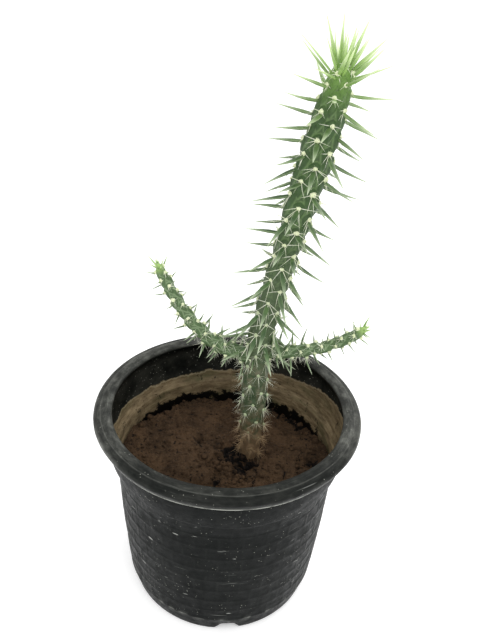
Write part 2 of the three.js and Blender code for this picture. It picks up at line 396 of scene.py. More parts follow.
# The plastic's colour: dust, scratches and film, with painted sheen and painted highlights in the rim, joint
# and lip layers.
dusty_and_sheen = plastic.layers(
    plastic.mix(broad_dust, rgb(5, 8, 7), rgb(11, 14, 13)),
    (dust, rgb(96, 98, 92)),
    (joint_dust_and_sheen, rgb(120, 123, 117)),
    (rim_dust_and_sheen, rgb(150, 151, 143)),
    (lip_wear_and_highlight, rgb(178, 180, 172)),
    (plastic.times(scratches, 0.6), rgb(180, 182, 176)),
    (hairlines, rgb(150, 152, 147)),
    (film, rgb(132, 130, 118)),
    (plastic.times(inside_specks, 0.35), rgb(175, 176, 165)),
    (plastic.times(specks, 0.6), rgb(175, 176, 165)),
)
# Below a ragged tide mark the inner wall is caked with dried mud, and near-black painted shade fills the
# crevice by the soil and the drain holes.
mud_streaks = plastic.across_wall(0.3, 1.2)
mud_edge = plastic.ragged(plastic.attribute("mud"), (75, 6, 0.7), 0.2, 0.3)
mud_amount = plastic.ramp(mud_edge, 0.36, 0.58)
tide_mark = plastic.times(plastic.ramp(mud_edge, 0.4, 0.5), plastic.ramp(mud_edge, 0.7, 0.55))
shade_edge = plastic.ragged(plastic.attribute("crevice"), (130, 6, 0.75), 0.3, 0.6)
mud_stain_and_shade = plastic.layers(
    rgb(82, 70, 52),
    (plastic.patches((230, 7, 0.75, mud_streaks), 0.35, 0.65), rgb(134, 118, 91)),
    (plastic.patches((70, 4, 0.6, mud_streaks), 0.48, 0.7), rgb(84, 80, 56)),
    (plastic.ramp(plastic.cells(260), 0.16, 0.06, 0.0, 0.6), rgb(44, 30, 20)),
    # Near-black painted shade in the crevice by the soil and in the drain holes.
    (plastic.ramp(shade_edge, 0.35, 0.6), rgb(12, 10, 8)),
    (plastic.times(tide_mark, 0.6), rgb(150, 138, 112)),
)
plastic.colour(plastic.mix(mud_amount, dusty_and_sheen, mud_stain_and_shade))
plastic.roughness(plastic.patches((140, 5, 0.7), 0.3, 0.7, 0.36, 0.6))
mud_grain = plastic.times(mud_amount, plastic.cloud(380, 6, 0.75))
grain = plastic.plus(plastic.times(plastic.cloud(900, 3, 0.6), 0.5), mud_grain)
plastic.bump(grain, 0.0004, 0.5)

pot = piece("nursery_pot", pot_points, pot_faces, plastic.material)
rim_part = (ring_number >= first_lip + 4) & (ring_number <= first_inside - 2)
on_top = ring_number >= first_lip + len(pot_lip) + len(pot_roll)
# More dust on the rim's top, and much paler towards the sides, away from the front: painted sheen.
rim_part = rim_part * (0.14 + 0.22 * on_top + 0.52 * away_from_front)
outline_steps = np.hypot(*np.diff(pot_outline, axis=0).T)
girth = np.repeat(np.r_[0, np.cumsum(outline_steps)][:, None], len(around), 1)
lip_near = np.exp(-(((ring_height - (POT_HEIGHT - 0.0111)) / 0.0011) ** 2))
crease_near = 0.1 * (np.abs(ring_radius - RIM_RADIUS + 0.0053) < 0.0003) * (ring_height > POT_HEIGHT - 0.002)
lip_part = lip_near * (ring_radius > RIM_RADIUS - 0.0070) * (ring_number >= first_lip)
lip_part = lip_part + crease_near
widest = np.exp(-(((RIM_RADIUS - ring_radius) / 0.0009) ** 2)) * (ring_number >= first_lip)
# A painted highlight along the rim's widest edge, towards the sides.
lip_part = lip_part + 0.38 * widest * away_from_front * smooth(0.6 + noise(round_points, 0.5, 22))
# A painted highlight in patches along the top edge of the foot band.
foot_edge = BRICK_TOP - BRICK_ROWS * BRICK_ROW_HEIGHT
foot_edge_highlight = np.exp(-(((ring_height - foot_edge) / 0.0007) ** 2)) * on_wall
lip_part = lip_part + 0.5 * foot_edge_highlight * smooth(noise(round_points, 0.16, 20) * 2.5)
mud_line = 0.1355 + 0.075 * pot_points[..., 0] + pot_points[..., 0] ** 2
mud_part = (ring_number > first_inside) * smooth((mud_line + 0.005 - ring_height) / 0.010) + in_drain
# The joints' dust, faint at the front and paler towards the sides: painted sheen.
give(pot, "joint", joint * (0.02 + 0.12 * away_from_front))
give(pot, "girth", girth)
give(pot, "rim", rim_part)
give(pot, "lip", lip_part)
give(pot, "mud", mud_part)
give(pot, "inside", (ring_number > first_inside) * 1.0)
# Where the painted shade goes: low on the inner wall, higher towards the back, and in the drain holes.
give(pot, "crevice", mud_part * smooth((0.106 + 0.014 * towards_back(around_all) - ring_height) / 0.008))
give(pot, "round", BAND_RADIUS * ((around_all - np.pi / 2) % (2 * np.pi)))
give(pot, "wall", on_wall * smooth((np.abs(around_all - 1.5 * np.pi) < 1.1) * 1.0))
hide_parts("pot")

# ---------------------------------------------------------------- soil
# Dark brown potting soil, crusted and crumbly on top. It has dried and shrunk away from the back of
# the pot, and has been disturbed at the foot of the stem, where a loose damp hollow shows. Painted
# shade darkens its cracks, its edge, most at the back, and the ledge and the soil's side in the gap.

SOIL_LEVEL = 0.118
SOIL_RADIUS = 0.0812
SOIL_HIGHEST = 0.1255
SOIL_RINGS = 116
SOIL_COLUMNS = 300
LEDGE_LEVEL = 0.1065
CRACK_DEPTH = 0.0018
HOLLOW_DEPTH = 0.0042
HEAP_HEIGHT = 0.0030
HEAP_RADIUS = 0.009
STEM_FOOT_X = 0.0185
# Each hollow's middle, x and y, and its size.
HOLLOWS = (
    (0.002, 0.002, 0.012),
    (0.018, -0.015, 0.0125),
    (-0.008, -0.031, 0.0080),
    (0.067, -0.006, 0.0070),
    (-0.022, 0.016, 0.0060),
)


def ring_round(radius, turn, height):
    """Points at a radius and a turn round the pot's axis, at a height."""
    return np.stack(np.broadcast_arrays(radius * np.cos(turn), radius * np.sin(turn), height), -1)


soil_reach = np.r_[np.linspace(0.012, 1, SOIL_RINGS), 1.004, 1.008]
soil_around = np.linspace(0, 2 * np.pi, SOIL_COLUMNS, endpoint=False)
reach, turn = np.meshgrid(soil_reach, soil_around, indexing="ij")
at_back = towards_back(turn) * (0.5 + 0.6 * np.exp(-(((turn - 0.95) / 0.5) ** 2)))
edge_points = ring_round(1, turn, 0)
ragged = noise(edge_points, 0.09, 11) + 0.6 * noise(edge_points, 0.03, 12)
ragged = ragged + 0.7 * noise(edge_points, 0.05, 15) + 0.5 * noise(edge_points, 0.016, 19)
soil_edge = SOIL_RADIUS - (0.0145 + 0.0045 * ragged) * at_back - 0.0006 * (1 + ragged) * (1 - at_back)
flat = ring_round(reach * soil_edge, turn, 0)
soil_x, soil_y = flat[..., 0], flat[..., 1]
lumps = (
    0.0016 * noise(flat, 0.026, 1)
    + 0.0011 * noise(flat, 0.010, 2)
    + 0.0009 * noise(flat, 0.0045, 3)
    + 0.0008 * noise(flat, 0.0021, 5)
)
cracks = np.exp(-((noise(flat, 0.017, 6) / 0.06) ** 2)) * smooth(noise(flat, 0.03, 7) * 2)
hollow = sum(
    np.exp(-(((soil_x - x) ** 2 + (soil_y - y) ** 2) / size**2))
    for x, y, size in HOLLOWS
)
hollow = np.minimum(hollow, 1) * smooth(0.70 + 1.1 * noise(flat, 0.006, 14))
loose = hollow * (0.0022 * noise(flat, 0.005, 8) + 0.0014 * noise(flat, 0.0025, 9))
from_stem = np.hypot(soil_x - STEM_FOOT_X, soil_y)
soil_z = SOIL_LEVEL + lumps - CRACK_DEPTH * cracks - HOLLOW_DEPTH * hollow + loose
soil_z = soil_z + HEAP_HEIGHT * np.exp(-((from_stem / HEAP_RADIUS) ** 2))
soil_z = soil_z + 0.003 * smooth((np.abs(soil_x) - 0.05) / 0.03) * (1 - at_back)
soil_z = soil_z - 0.005 * at_back * reach**4
soil_z = np.minimum(soil_z, SOIL_HIGHEST)
soil_z[-2] = soil_z[-3] - 0.004
soil_z[-1] = soil_z[-3] - 0.009
skirt_radius = np.array([SOIL_RADIUS, 0.0785, 0.0755, 0.0690])[:, None]
skirt_height = np.array([0.0860, 0.0600, 0.0200, 0.0112])[:, None]
skirt = ring_round(skirt_radius, soil_around, skirt_height)
# A ledge of broken soil lies in the gap between the crust's edge and the pot.
across_ledge = np.array([0.2, 0.4, 0.6, 0.8, 1.0])[:, None]
ledge_radius = soil_edge[:1] * soil_reach[-1] * (1 - across_ledge) + SOIL_RADIUS * across_ledge
ledge = ring_round(ledge_radius, soil_around, 0.0)
ledge_rise = 0.6 * noise(ledge, 0.0075, 16) + 0.4 * noise(ledge, 0.003, 17)
ledge[..., 2] = np.minimum(LEDGE_LEVEL + 0.0085 * ledge_rise, soil_z[-3] - 0.002)
soil_points = np.concatenate([np.stack([soil_x, soil_y, soil_z], -1), ledge, skirt])[::-1]
soil_faces = closed_faces(*soil_points.shape[:2])

earth = Nodes("soil", Roughness=0.95, Specular_IOR_Level=0.15)
pits = earth.times(earth.patches((300, 3, 0.6), 0.58, 0.66), earth.patches((60, 3), 0.4, 0.6))
# Dark where the soil is damp, and painted shade in the cracks and in the gap by the pot.
damp_and_shade_patches = earth.ramp(earth.ragged(earth.attribute("damp_and_shade"), (210, 4), 0.3, 0.3), 0.3, 0.75)
crust = earth.layers(
    rgb(56, 42, 29),
    (earth.patches((55, 6, 0.7), 0.32, 0.68), rgb(86, 66, 47)),
    (earth.patches((420, 5, 0.8), 0.52, 0.75), rgb(100, 81, 62)),
    (pits, rgb(14, 9, 6)),
    (earth.ramp(earth.cells(700), 0.28, 0.1, 0.0, 0.4), rgb(34, 26, 18)),
    (damp_and_shade_patches, rgb(15, 11, 8)),
)
earth.colour(crust)
crumb_relief = earth.plus(earth.cloud(520, 8, 0.8), earth.times(earth.cells(420), 0.7))
earth.bump(crumb_relief, 0.0024, 1.0)

soil = piece("potting_soil", soil_points, soil_faces, earth.material)
# Damp in the hollows; painted shade in the cracks, along the crust's edge, most at the back, in the ledge's
# low spots and over the soil's side in the gap.
damp_and_shade = np.clip(hollow * (0.62 + 0.9 * noise(flat, 0.006, 10)) + 0.8 * cracks, 0, 1)
damp_and_shade = np.clip(damp_and_shade + smooth((reach - 0.985) / 0.02) * (0.4 + 0.6 * at_back), 0, 1)
give(soil, "damp_and_shade", np.concatenate([damp_and_shade, 0.75 - 1.2 * ledge_rise, np.ones(skirt.shape[:2])])[::-1])
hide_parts("soil")

# Loose crumbs lie on the crust, more of them in the hollow, in the gap behind the broken edge and
# round the foot of the stem.
CRUMBS = 1500
HOLLOW_CRUMBS = CRUMBS // 4
GAP_CRUMBS = 160
FOOT_CRUMBS = CRUMBS // 12
chance = np.random.default_rng(21)


def lumps_at(places, sizes, rings, sides, chance, flatness=0.8):
    """Small closed lumps: a sphere's rings and poles, each radius pushed in or out at random, sized
    and set at each place. Returns the points, and the faces as a list."""
    latitude = np.linspace(-np.pi / 2, np.pi / 2, rings + 2)
    longitude = np.linspace(0, 2 * np.pi, sides, endpoint=False)
    lat, lon = np.meshgrid(latitude[1:-1], longitude, indexing="ij")
    ball = np.stack([np.cos(lat) * np.cos(lon), np.cos(lat) * np.sin(lon), np.sin(lat) * flatness], -1)
    ball = np.concatenate([[[0, 0, -flatness]], ball.reshape(-1, 3), [[0, 0, flatness]]])
    push = 1 + chance.uniform(-0.25, 0.25, (len(places), len(ball), 1))
    points = places[:, None] + ball * push * np.asarray(sizes)[:, None, None]
    middle = grid_faces(rings, sides) + 1
    spot = np.arange(sides)
    below = np.stack([0 * spot, (spot + 1) % sides + 1, spot + 1], -1)
    top = len(ball) - 1
    last = top - sides
    above = np.stack([0 * spot + top, last + spot, last + (spot + 1) % sides], -1)
    start = (np.arange(len(places)) * len(ball))[:, None, None]
    faces = (middle + start).reshape(-1, 4).tolist()
    faces += (below + start).reshape(-1, 3).tolist() + (above + start).reshape(-1, 3).tolist()
    return points, faces


crumb_reach = np.sqrt(chance.uniform(0, 0.92, CRUMBS))
crumb_turn = chance.uniform(0, 2 * np.pi, CRUMBS)
crumb_number = np.arange(CRUMBS)
near_hollow = crumb_number < HOLLOW_CRUMBS
in_gap = ~near_hollow & (crumb_number < HOLLOW_CRUMBS + GAP_CRUMBS)
round_foot = crumb_number >= CRUMBS - FOOT_CRUMBS
hollow_x = 0.010 + chance.normal(0, 0.012, CRUMBS)
hollow_y = -0.010 + chance.normal(0, 0.012, CRUMBS)
crumb_x = np.where(near_hollow, hollow_x, 0.078 * crumb_reach * np.cos(crumb_turn))
crumb_y = np.where(near_hollow, hollow_y, 0.072 * crumb_reach * np.sin(crumb_turn))
foot_reach = chance.uniform(0.0055, 0.0095, CRUMBS)
gap_turn = chance.uniform(0.2, np.pi - 0.2, CRUMBS)
gap_reach = chance.uniform(0.068, 0.0795, CRUMBS)
crumb_x = np.where(in_gap, gap_reach * np.cos(gap_turn), crumb_x)
crumb_y = np.where(in_gap, gap_reach * np.sin(gap_turn), crumb_y)
crumb_x = np.where(round_foot, STEM_FOOT_X + foot_reach * np.cos(crumb_turn), crumb_x)
crumb_y = np.where(round_foot, foot_reach * np.sin(crumb_turn), crumb_y)
crumb_column = np.round(np.arctan2(crumb_y, crumb_x) / (2 * np.pi) * SOIL_COLUMNS).astype(int) % SOIL_COLUMNS
crumb_edge = soil_edge[0, crumb_column]
crumb_row = np.hypot(crumb_x, crumb_y) / crumb_edge * SOIL_RINGS
crumb_row = np.clip(crumb_row, 0, SOIL_RINGS - 2).astype(int)
crumb_size = 0.0004 + (0.0014 + 0.0014 * (near_hollow | in_gap)) * chance.random(CRUMBS) ** 3
beyond_edge = np.hypot(crumb_x, crumb_y) > crumb_edge
crumb_z = np.where(beyond_edge, LEDGE_LEVEL, soil_z[crumb_row, crumb_column]) + crumb_size * 0.3
crumb_places = np.stack([crumb_x, crumb_y, crumb_z], -1)
crumb_points, crumb_faces = lumps_at(crumb_places, crumb_size, 3, 6, chance)
crumbs = piece("soil_crumbs", crumb_points, crumb_faces, earth.material)
crumb_damp = np.clip(hollow[crumb_row, crumb_column] * 1.1, 0, 1) * 0.85
give(crumbs, "damp_and_shade", np.repeat(crumb_damp, crumb_points.shape[1]))

# ---------------------------------------------------------------- stems: shape
# The main stem and its two arms grew as fleshy columns set with raised tubercles, in spirals a golden
# angle apart. Each tubercle is a long low mound with its areole, the cushion of wool, near the top.

MM = 0.001
STEM_TOP = 0.417
STEM_BURIED = 0.100
BEND_HEIGHT = 0.222
BEND_SOFTNESS = 0.008
LEAN = 0.195
GOLDEN_ANGLE = np.radians(137.508)
STEM_AREOLES = 150
STEM_AREOLE_STEP = 0.00205
# A tubercle's half width, and its reach above and below its areole.
STEM_TUBERCLE = (0.0062, 0.0050, 0.0150)
ARM_TUBERCLE = (0.0044, 0.0032, 0.0090)
# The stem's radius at each height above the floor.
stem_radii = np.array([
    (0.092, 0.0045),
    (0.112, 0.0060),
    (0.126, 0.0074),
    (0.140, 0.0085),
    (0.165, 0.0093),
    (0.205, 0.0090),
    (0.240, 0.0082),
    (0.305, 0.0084),
    (0.330, 0.0096),
    (0.365, 0.0103),
    (0.385, 0.0092),
    (0.400, 0.0078),
    (0.409, 0.0061),
    (0.415, 0.0038),
    (0.417, 0.0003),
])


def outward(side, turn):
    """Directions out from a centre line in the XZ plane: its sideways direction, turned round it."""
    return side * np.cos(turn)[..., None] + np.array([0, 1, 0]) * np.sin(turn)[..., None]


class Stalk:
    """A growing column: its centre line in the XZ plane, its radius, and its areoles, all found by
    distance down from the growing tip."""

    def __init__(self, down, centre, radius, areole_down, tubercle):
        self.down, self.centre, self.radius = down, centre, radius
        line = -np.gradient(centre, down, axis=0)
        self.up = line / np.linalg.norm(line, axis=1)[:, None]
        self.areole_down = areole_down
        self.areole_turn = np.arange(1, len(areole_down) + 1) * GOLDEN_ANGLE
        self.tubercle = tubercle

    def at(self, down):
        """Centre, upward direction, sideways direction and radius at each distance from the tip."""
        centre = np.stack([np.interp(down, self.down, self.centre[:, i]) for i in range(3)], -1)
        up = np.stack([np.interp(down, self.down, self.up[:, i]) for i in range(3)], -1)
        up = up / np.linalg.norm(up, axis=-1)[..., None]
        side = np.stack([up[..., 2], 0 * up[..., 0], -up[..., 0]], -1)
        return centre, up, side, np.interp(down, self.down, self.radius)

    def mound(self, down, turn, radius):
        """How high on a tubercle each point stands: 1 at an areole, less 0.55 of the straight distance
        to it and 0.45 of the lengthwise and crosswise distances added up, which gives a diamond with
        rounded corners, longer below than above. The highest of all the diamonds is kept."""
        width, above, below = self.tubercle
        best = np.zeros(np.broadcast(down, turn).shape)
        for areole, areole_turn in zip(self.areole_down, self.areole_turn):
            close = np.abs(down[:, 0] - areole) < below
            gap = (turn - areole_turn + np.pi) % (2 * np.pi) - np.pi
            drop = down[close] - areole
            lengthwise = np.where(drop > 0, drop / below, -drop / above)
            across = np.abs(gap) * radius[close] / width
            high = 1 - np.hypot(lengthwise, across) * 0.55 - 0.45 * (lengthwise + across)
            best[close] = np.maximum(best[close], high)
        return best

    def surface(self, rings, sides, relief, wander, seed):
        """Points of the skin: rings of the stalk's radius round its centre line, closest together at
        the tip, lifted by the eased tubercles and roughened a little by noise. Tubercles are flatter
        where the stalk is thin and on old growth. Gives each point's mound and distance down too."""
        start = (1 - np.cos(np.linspace(0, np.pi / 2, rings))) ** 0.8 * self.down[-1]
        start[0] = self.down[0]
        turn = np.linspace(0, 2 * np.pi, sides, endpoint=False)[None]
        down = start[:, None]
        centre, up, side, radius = self.at(start)
        mound = self.mound(down, turn, radius[:, None])
        ease = smooth(mound * 1.5)
        plump = np.minimum(1, radius / 0.006) * (1 - 0.65 * smooth((start - 0.19) / 0.03))
        full = radius[:, None] + relief * (ease - 0.6) * plump[:, None]
        out = outward(side[:, None], turn)
        points = centre[:, None] + out * full[..., None]
        points = points + out * (wander * noise(points, 0.006, seed))[..., None]
        return points[::-1], ease[::-1], np.broadcast_to(down, mound.shape)[::-1]


def stalk_mesh(name, stalk, material, rings, sides, relief, wander, seed):
    """The stalk's skin as a closed mesh, with its foot and tip closed by a flat face each."""
    points, ease, down = stalk.surface(rings, sides, relief, wander, seed)
    made = piece(name, points, closed_faces(rings, sides), material)
    give(made, "mound", ease)
    give(made, "down", down)
    return made


def leaning_line(height):
    """The main stem's centre: upright, then easing into a steady lean above the arms, by the soft
    ramp log(1 + e^x) of the height past the bend."""
    above = BEND_SOFTNESS * np.log1p(np.exp((height - BEND_HEIGHT) / BEND_SOFTNESS))
    return np.stack([STEM_FOOT_X + LEAN * above, 0 * height, height], -1)


def areoles_down(count, step, crowding, ease):
    """Distances from the tip: an even step, less a crowding that grows to its full value over the
    first few areoles as 1 - e^-x."""
    number = np.arange(1, count + 1)
    return step * number - crowding * (1 - np.exp(-number / ease))


stem_down = np.linspace(0, STEM_TOP - STEM_BURIED, 400)
stem_heights = STEM_TOP - stem_down
main_stalk = Stalk(
    stem_down,
    leaning_line(stem_heights),
    np.interp(stem_heights, stem_radii[:, 0], stem_radii[:, 1]),
    areoles_down(STEM_AREOLES, STEM_AREOLE_STEP, 0.014, 8) + 0.001,
    STEM_TUBERCLE,
)


def arm_stalk(corners, base, tip, count, step):
    """An arm along a cubic Bezier curve from its root to its tip, through corners in millimetres. Its
    radius goes evenly from base to tip, and the tip is rounded as a quarter circle."""
    t = np.linspace(1, 0, 300)[:, None]
    a, b, c, d = np.array(corners) * MM
    line = (1 - t) ** 3 * a + 3 * (1 - t) ** 2 * t * b + 3 * (1 - t) * t**2 * c + t**3 * d
    down = np.r_[0, np.cumsum(np.linalg.norm(np.diff(line, axis=0), axis=1))]
    full = down / down[-1]
    rounding = np.sqrt(np.clip(1 - (1 - full / 0.15).clip(0) ** 2, 0.004, 1))
    radius = (tip + (base - tip) * full) * rounding
    return Stalk(down, line, radius, areoles_down(count, step, 0.006, 6) + 0.001, ARM_TUBERCLE)


left_corners = [(18, 0, 213), (-12, 0, 210), (-34, 0, 236), (-53, 0, 282)]
left_stalk = arm_stalk(left_corners, base=0.0057, tip=0.0036, count=54, step=0.0022)
right_corners = [(20, 0, 216), (50, 0, 215), (75, 0, 222), (94, 0, 241)]
right_stalk = arm_stalk(right_corners, base=0.0050, tip=0.0033, count=46, step=0.0020)

# ---------------------------------------------------------------- stems: finish
# Waxy skin, fresh green at the growing tips and deeper below, weathered to a grey-brown cork on the
# oldest part of the stem, with splashed soil on its foot. The tubercles' slopes are paler, and
# painted shade darkens the furrows between them.


def skin(name, young, grown, edge, bump_depth, fresh_length):
    """Stem skin: the young colour at the tip and the grown colour below, with the edge colour down the
    tubercles' slopes and a deeper grown colour painted in the furrows as shade. Gives the nodes and the
    colour."""
    nodes = Nodes(name, Specular_IOR_Level=0.35)
    fresh = nodes.ramp(nodes.attribute("down"), 0.0, fresh_length, 1.0, 0.0)
    mottle = nodes.patches((180, 5, 0.65), 0.35, 0.7)
    deep = tuple(0.72 * part for part in grown[:3]) + (1.0,)
    slope = nodes.ramp(nodes.attribute("mound"), 0.50, 0.15, 0.0, 0.6)
    # Painted shade: the furrows between tubercles are darkened with the deeper grown colour.
    furrow = nodes.ramp(nodes.attribute("mound"), 0.12, 0.0, 0.0, 0.75)
    base = nodes.layers(grown, (mottle, deep), (fresh, young), (slope, edge), (furrow, deep))
    nodes.bump(nodes.cloud(900, 4, 0.6), bump_depth, 0.5)
    nodes.roughness(nodes.patches((250, 3, 0.6), 0.3, 0.7, 0.42, 0.6))
    return nodes, base


young, grown, edge = rgb(108, 144, 66), rgb(57, 85, 42), rgb(108, 134, 84)
stem_skin, fresh_green = skin("stem_skin", young, grown, edge, bump_depth=0.0005, fresh_length=0.034)
stem_height = stem_skin.height()
greying = stem_skin.ramp(stem_skin.ragged(stem_height, (70,), 0.2, 0.012), 0.345, 0.245)
blotches = stem_skin.patches((150, 7, 0.8), 0.42, 0.62)
cork = stem_skin.mix(blotches, rgb(60, 78, 52), rgb(104, 102, 80))
cork_amount = stem_skin.ramp(stem_skin.ragged(stem_height, (120,), 0.2, 0.01), 0.222, 0.198)
flecks = stem_skin.patches((520, 4, 0.7), 0.52, 0.66, 0.0, 0.5)
splash = stem_skin.ramp(stem_skin.ragged(stem_height, (260, 5), 0.25, 0.014), 0.170, 0.130)
aged = stem_skin.layers(
    fresh_green,
    (stem_skin.times(greying, 0.70), rgb(80, 93, 67)),
    (cork_amount, cork),
    (flecks, rgb(44, 56, 36)),
    (splash, rgb(116, 96, 72)),
)
stem_skin.colour(aged)
young, grown, edge = rgb(160, 192, 112), rgb(80, 104, 66), rgb(138, 158, 120)
arm_skin, arm_green = skin("arm_skin", young, grown, edge, bump_depth=0.0004, fresh_length=0.010)
arm_skin.colour(arm_green)

main_stem = stalk_mesh(
    "stem", main_stalk, stem_skin.material, 520, 128, relief=0.0023, wander=0.00035, seed=31
)
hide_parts("main_stem")
left_arm = stalk_mesh(
    "arm_left", left_stalk, arm_skin.material, 240, 64, relief=0.0016, wander=0.0003, seed=32
)
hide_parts("left_arm")
right_arm = stalk_mesh(
    "arm_right", right_stalk, arm_skin.material, 220, 64, relief=0.0015, wander=0.0003, seed=33
)
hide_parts("right_arm")

# ---------------------------------------------------------------- leaves
# One awl-shaped fleshy leaf under each areole, flat above and round beneath, curving up a little to
# a fine point. They stand up in a tuft at the growing tip and droop slightly lower down.

LEAF_RINGS = 12
LEAF_SIDES = 10
STEM_LEAVES = 102
CAD_LEAVES = 50
LEAF_SWAY = np.radians(13)
LEAF_SINK = 0.0012


def unit(vectors):
    """Each vector divided by its own length."""
    return vectors / np.linalg.norm(vectors, axis=-1)[..., None]


def seats(stalk, number):
    """Where areoles sit on a stalk: the point on its skin, outward, upward and crosswise directions."""
    centre, up, side, radius = stalk.at(stalk.areole_down[number])
    out = outward(side, stalk.areole_turn[number])
    return centre + out * radius[:, None], out, up, np.cross(up, out)


def leaf_points(root, direction, upper, length, width, curl):
    """Leaves: at each step along, an oval ring, flat on top, whose width swells then tapers to a
    point, set along a line that curls towards the upper side."""
    t = (np.linspace(0, 1, LEAF_RINGS) ** 1.15)[None, :, None, None]
    turn = np.linspace(0, 2 * np.pi, LEAF_SIDES, endpoint=False)[None, None, :, None]
    swell = (0.62 + 1.5 * t) * (1 - t) ** 0.75 * (t < 0.32) + (t >= 0.32) * (1 - t) ** 0.85 * 1.1
    swell = np.maximum(swell, 0.02)
    across = unit(np.cross(upper, direction))[:, None, None]
    lift = unit(np.cross(np.cross(direction, upper), direction))[:, None, None]
    length, width, curl = (np.asarray(v)[:, None, None, None] for v in (length, width, curl))
    flat_top = np.where(np.sin(turn) > 0, 0.45, 0.85)
    ring = across * np.cos(turn) + lift * np.sin(turn) * flat_top
    line = root[:, None, None] + direction[:, None, None] * length * t + lift * curl * length * t**2
    return line + ring * width * swell, np.broadcast_to(t[..., 0], (len(root), LEAF_RINGS, LEAF_SIDES))


leaf_faces_one = closed_faces(LEAF_RINGS, LEAF_SIDES)
# How near each point of a leaf is to its two margins, 0 to 1.
leaf_margin = np.abs(np.cos(np.linspace(0, 2 * np.pi, LEAF_SIDES, endpoint=False)))
leaf_margin = np.broadcast_to(leaf_margin, (LEAF_RINGS, LEAF_SIDES))


def faces_for(count, faces_one, points_each):
    """The same faces for many copies of a shape whose points follow one after another."""
    return [[corner + i * points_each for corner in face] for i in range(count) for face in faces_one]


flesh = Nodes("leaf_flesh", Specular_IOR_Level=0.4)
along_leaf = flesh.attribute("along")
youth = flesh.attribute("youth")
old_mottle = flesh.patches((120,), 0.35, 0.65)
old_leaf = flesh.mix(old_mottle, rgb(54, 80, 44), rgb(82, 108, 64))
new_mottle = flesh.patches((90,), 0.35, 0.65)
new_leaf = flesh.mix(new_mottle, rgb(122, 158, 78), rgb(154, 188, 104))
tip_amount = flesh.ramp(flesh.plus(along_leaf, flesh.times(youth, 0.15)), 0.35, 1.0)
leaf_tip = flesh.mix(youth, rgb(178, 192, 160), rgb(214, 232, 176))
margin_amount = flesh.ramp(flesh.attribute("margin"), 0.75, 1.0, 0.0, 0.5)
margin = (margin_amount, rgb(148, 166, 126))
flesh.colour(flesh.layers(old_leaf, (youth, new_leaf), margin, (tip_amount, leaf_tip)))
flesh.roughness(flesh.patches((300,), 0.3, 0.7, 0.38, 0.55))
flesh.bump(flesh.cloud(700, 3, 0.5, flesh.stretched(1, 1, 0.3)), 0.0002, 0.4)

leaf_chance = np.random.default_rng(5)


def leaves_on(stalk, number, rise, length, width, sink):
    """Leaves for the numbered areoles, each swayed a little aside and lifted by its rise, with its
    root sunk into the skin. Gives their points and the places of those along the leaf."""
    skin_point, out, up, cross = seats(stalk, number)
    sway = leaf_chance.normal(0, LEAF_SWAY, len(number))[:, None]
    rise = rise[:, None]
    aside = out * np.cos(sway) + cross * np.sin(sway)
    direction = unit(aside * np.cos(rise) + up * np.sin(rise))
    root = skin_point - out * sink - up * LEAF_SINK
    curl = leaf_chance.uniform(-0.08, 0.13, len(number))
    return leaf_points(root, direction, up + 0.3 * out, length, width, curl)


# Down the stem the leaves stand up, then spread, then hang a little, and grow shorter. The topmost
# are not full grown.
stem_number = np.arange(STEM_LEAVES)
stem_leaf_down = main_stalk.areole_down[stem_number]
leaf_jitter = leaf_chance.normal(0, 1, len(stem_number))
stem_rise = 98 * np.exp(-stem_leaf_down / 0.014) - 17 - 13 * smooth((stem_leaf_down - 0.07) / 0.08)
stem_rise = np.radians(stem_rise + (3 + 7 * smooth(stem_leaf_down / 0.04)) * leaf_jitter)
stem_length = (0.0245 + 0.008 * np.exp(-stem_leaf_down / 0.04)) * (1 - 0.15 * np.exp(-stem_leaf_down / 0.005))
stem_length = stem_length * (1 + 0.07 * leaf_chance.normal(0, 1, len(stem_number))).clip(0.8, 1.1)
stem_width = 0.0017 + 0.0004 * smooth(stem_leaf_down / 0.03)
stem_leaves, stem_along = leaves_on(main_stalk, stem_number, stem_rise, stem_length, stem_width, 0.0008)
stem_youth = np.exp(-((stem_leaf_down / 0.025) ** 1.5))
for i in range(CAD_LEAVES):
    leaf = piece(f"awl_leaf_{i + 1:02d}", stem_leaves[i], leaf_faces_one, flesh.material)
    give(leaf, "along", stem_along[i])
    give(leaf, "margin", leaf_margin)
    give(leaf, "youth", np.full(stem_along[i].shape, stem_youth[i]))
    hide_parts(f"leaf_{i + 1:02d}")


def joined_leaves(name, points, along, youth):
    """Many leaves as one piece."""
    faces = faces_for(len(points), leaf_faces_one, LEAF_RINGS * LEAF_SIDES)
    made = piece(name, points, faces, flesh.material)
    give(made, "along", along)
    give(made, "margin", np.broadcast_to(leaf_margin, along.shape))
    give(made, "youth", np.broadcast_to(youth[:, None, None], along.shape))


joined_leaves("lower_stem_leaves", stem_leaves[CAD_LEAVES:], stem_along[CAD_LEAVES:], stem_youth[CAD_LEAVES:])


def bud_leaves(name, stalk, count, reach, lowest, length, width):
    """The newest leaves, in a tuft round a growing point: upright and short in its middle, longer and
    leaning out at its rim, down to the lowest rise in degrees."""
    centre, up, side, radius = stalk.at(np.linspace(0.2 * reach, reach, count))
    out = outward(side, np.arange(count) * GOLDEN_ANGLE + 1.0)
    rise = np.linspace(86, lowest, count) + leaf_chance.normal(0, 4, count)
    rise = np.radians(rise)[:, None]
    points, along = leaf_points(
        centre + out * (radius - 0.7 * width).clip(0.0005)[:, None] - up * LEAF_SINK,
        unit(out * np.cos(rise) + up * np.sin(rise)),
        up + 0.3 * out,
        length * np.linspace(0.6, 1, count) * leaf_chance.uniform(0.85, 1.1, count),
        np.full(count, width),
        leaf_chance.uniform(-0.05, 0.14, count),
    )
    joined_leaves(name, points, along, np.ones(count))


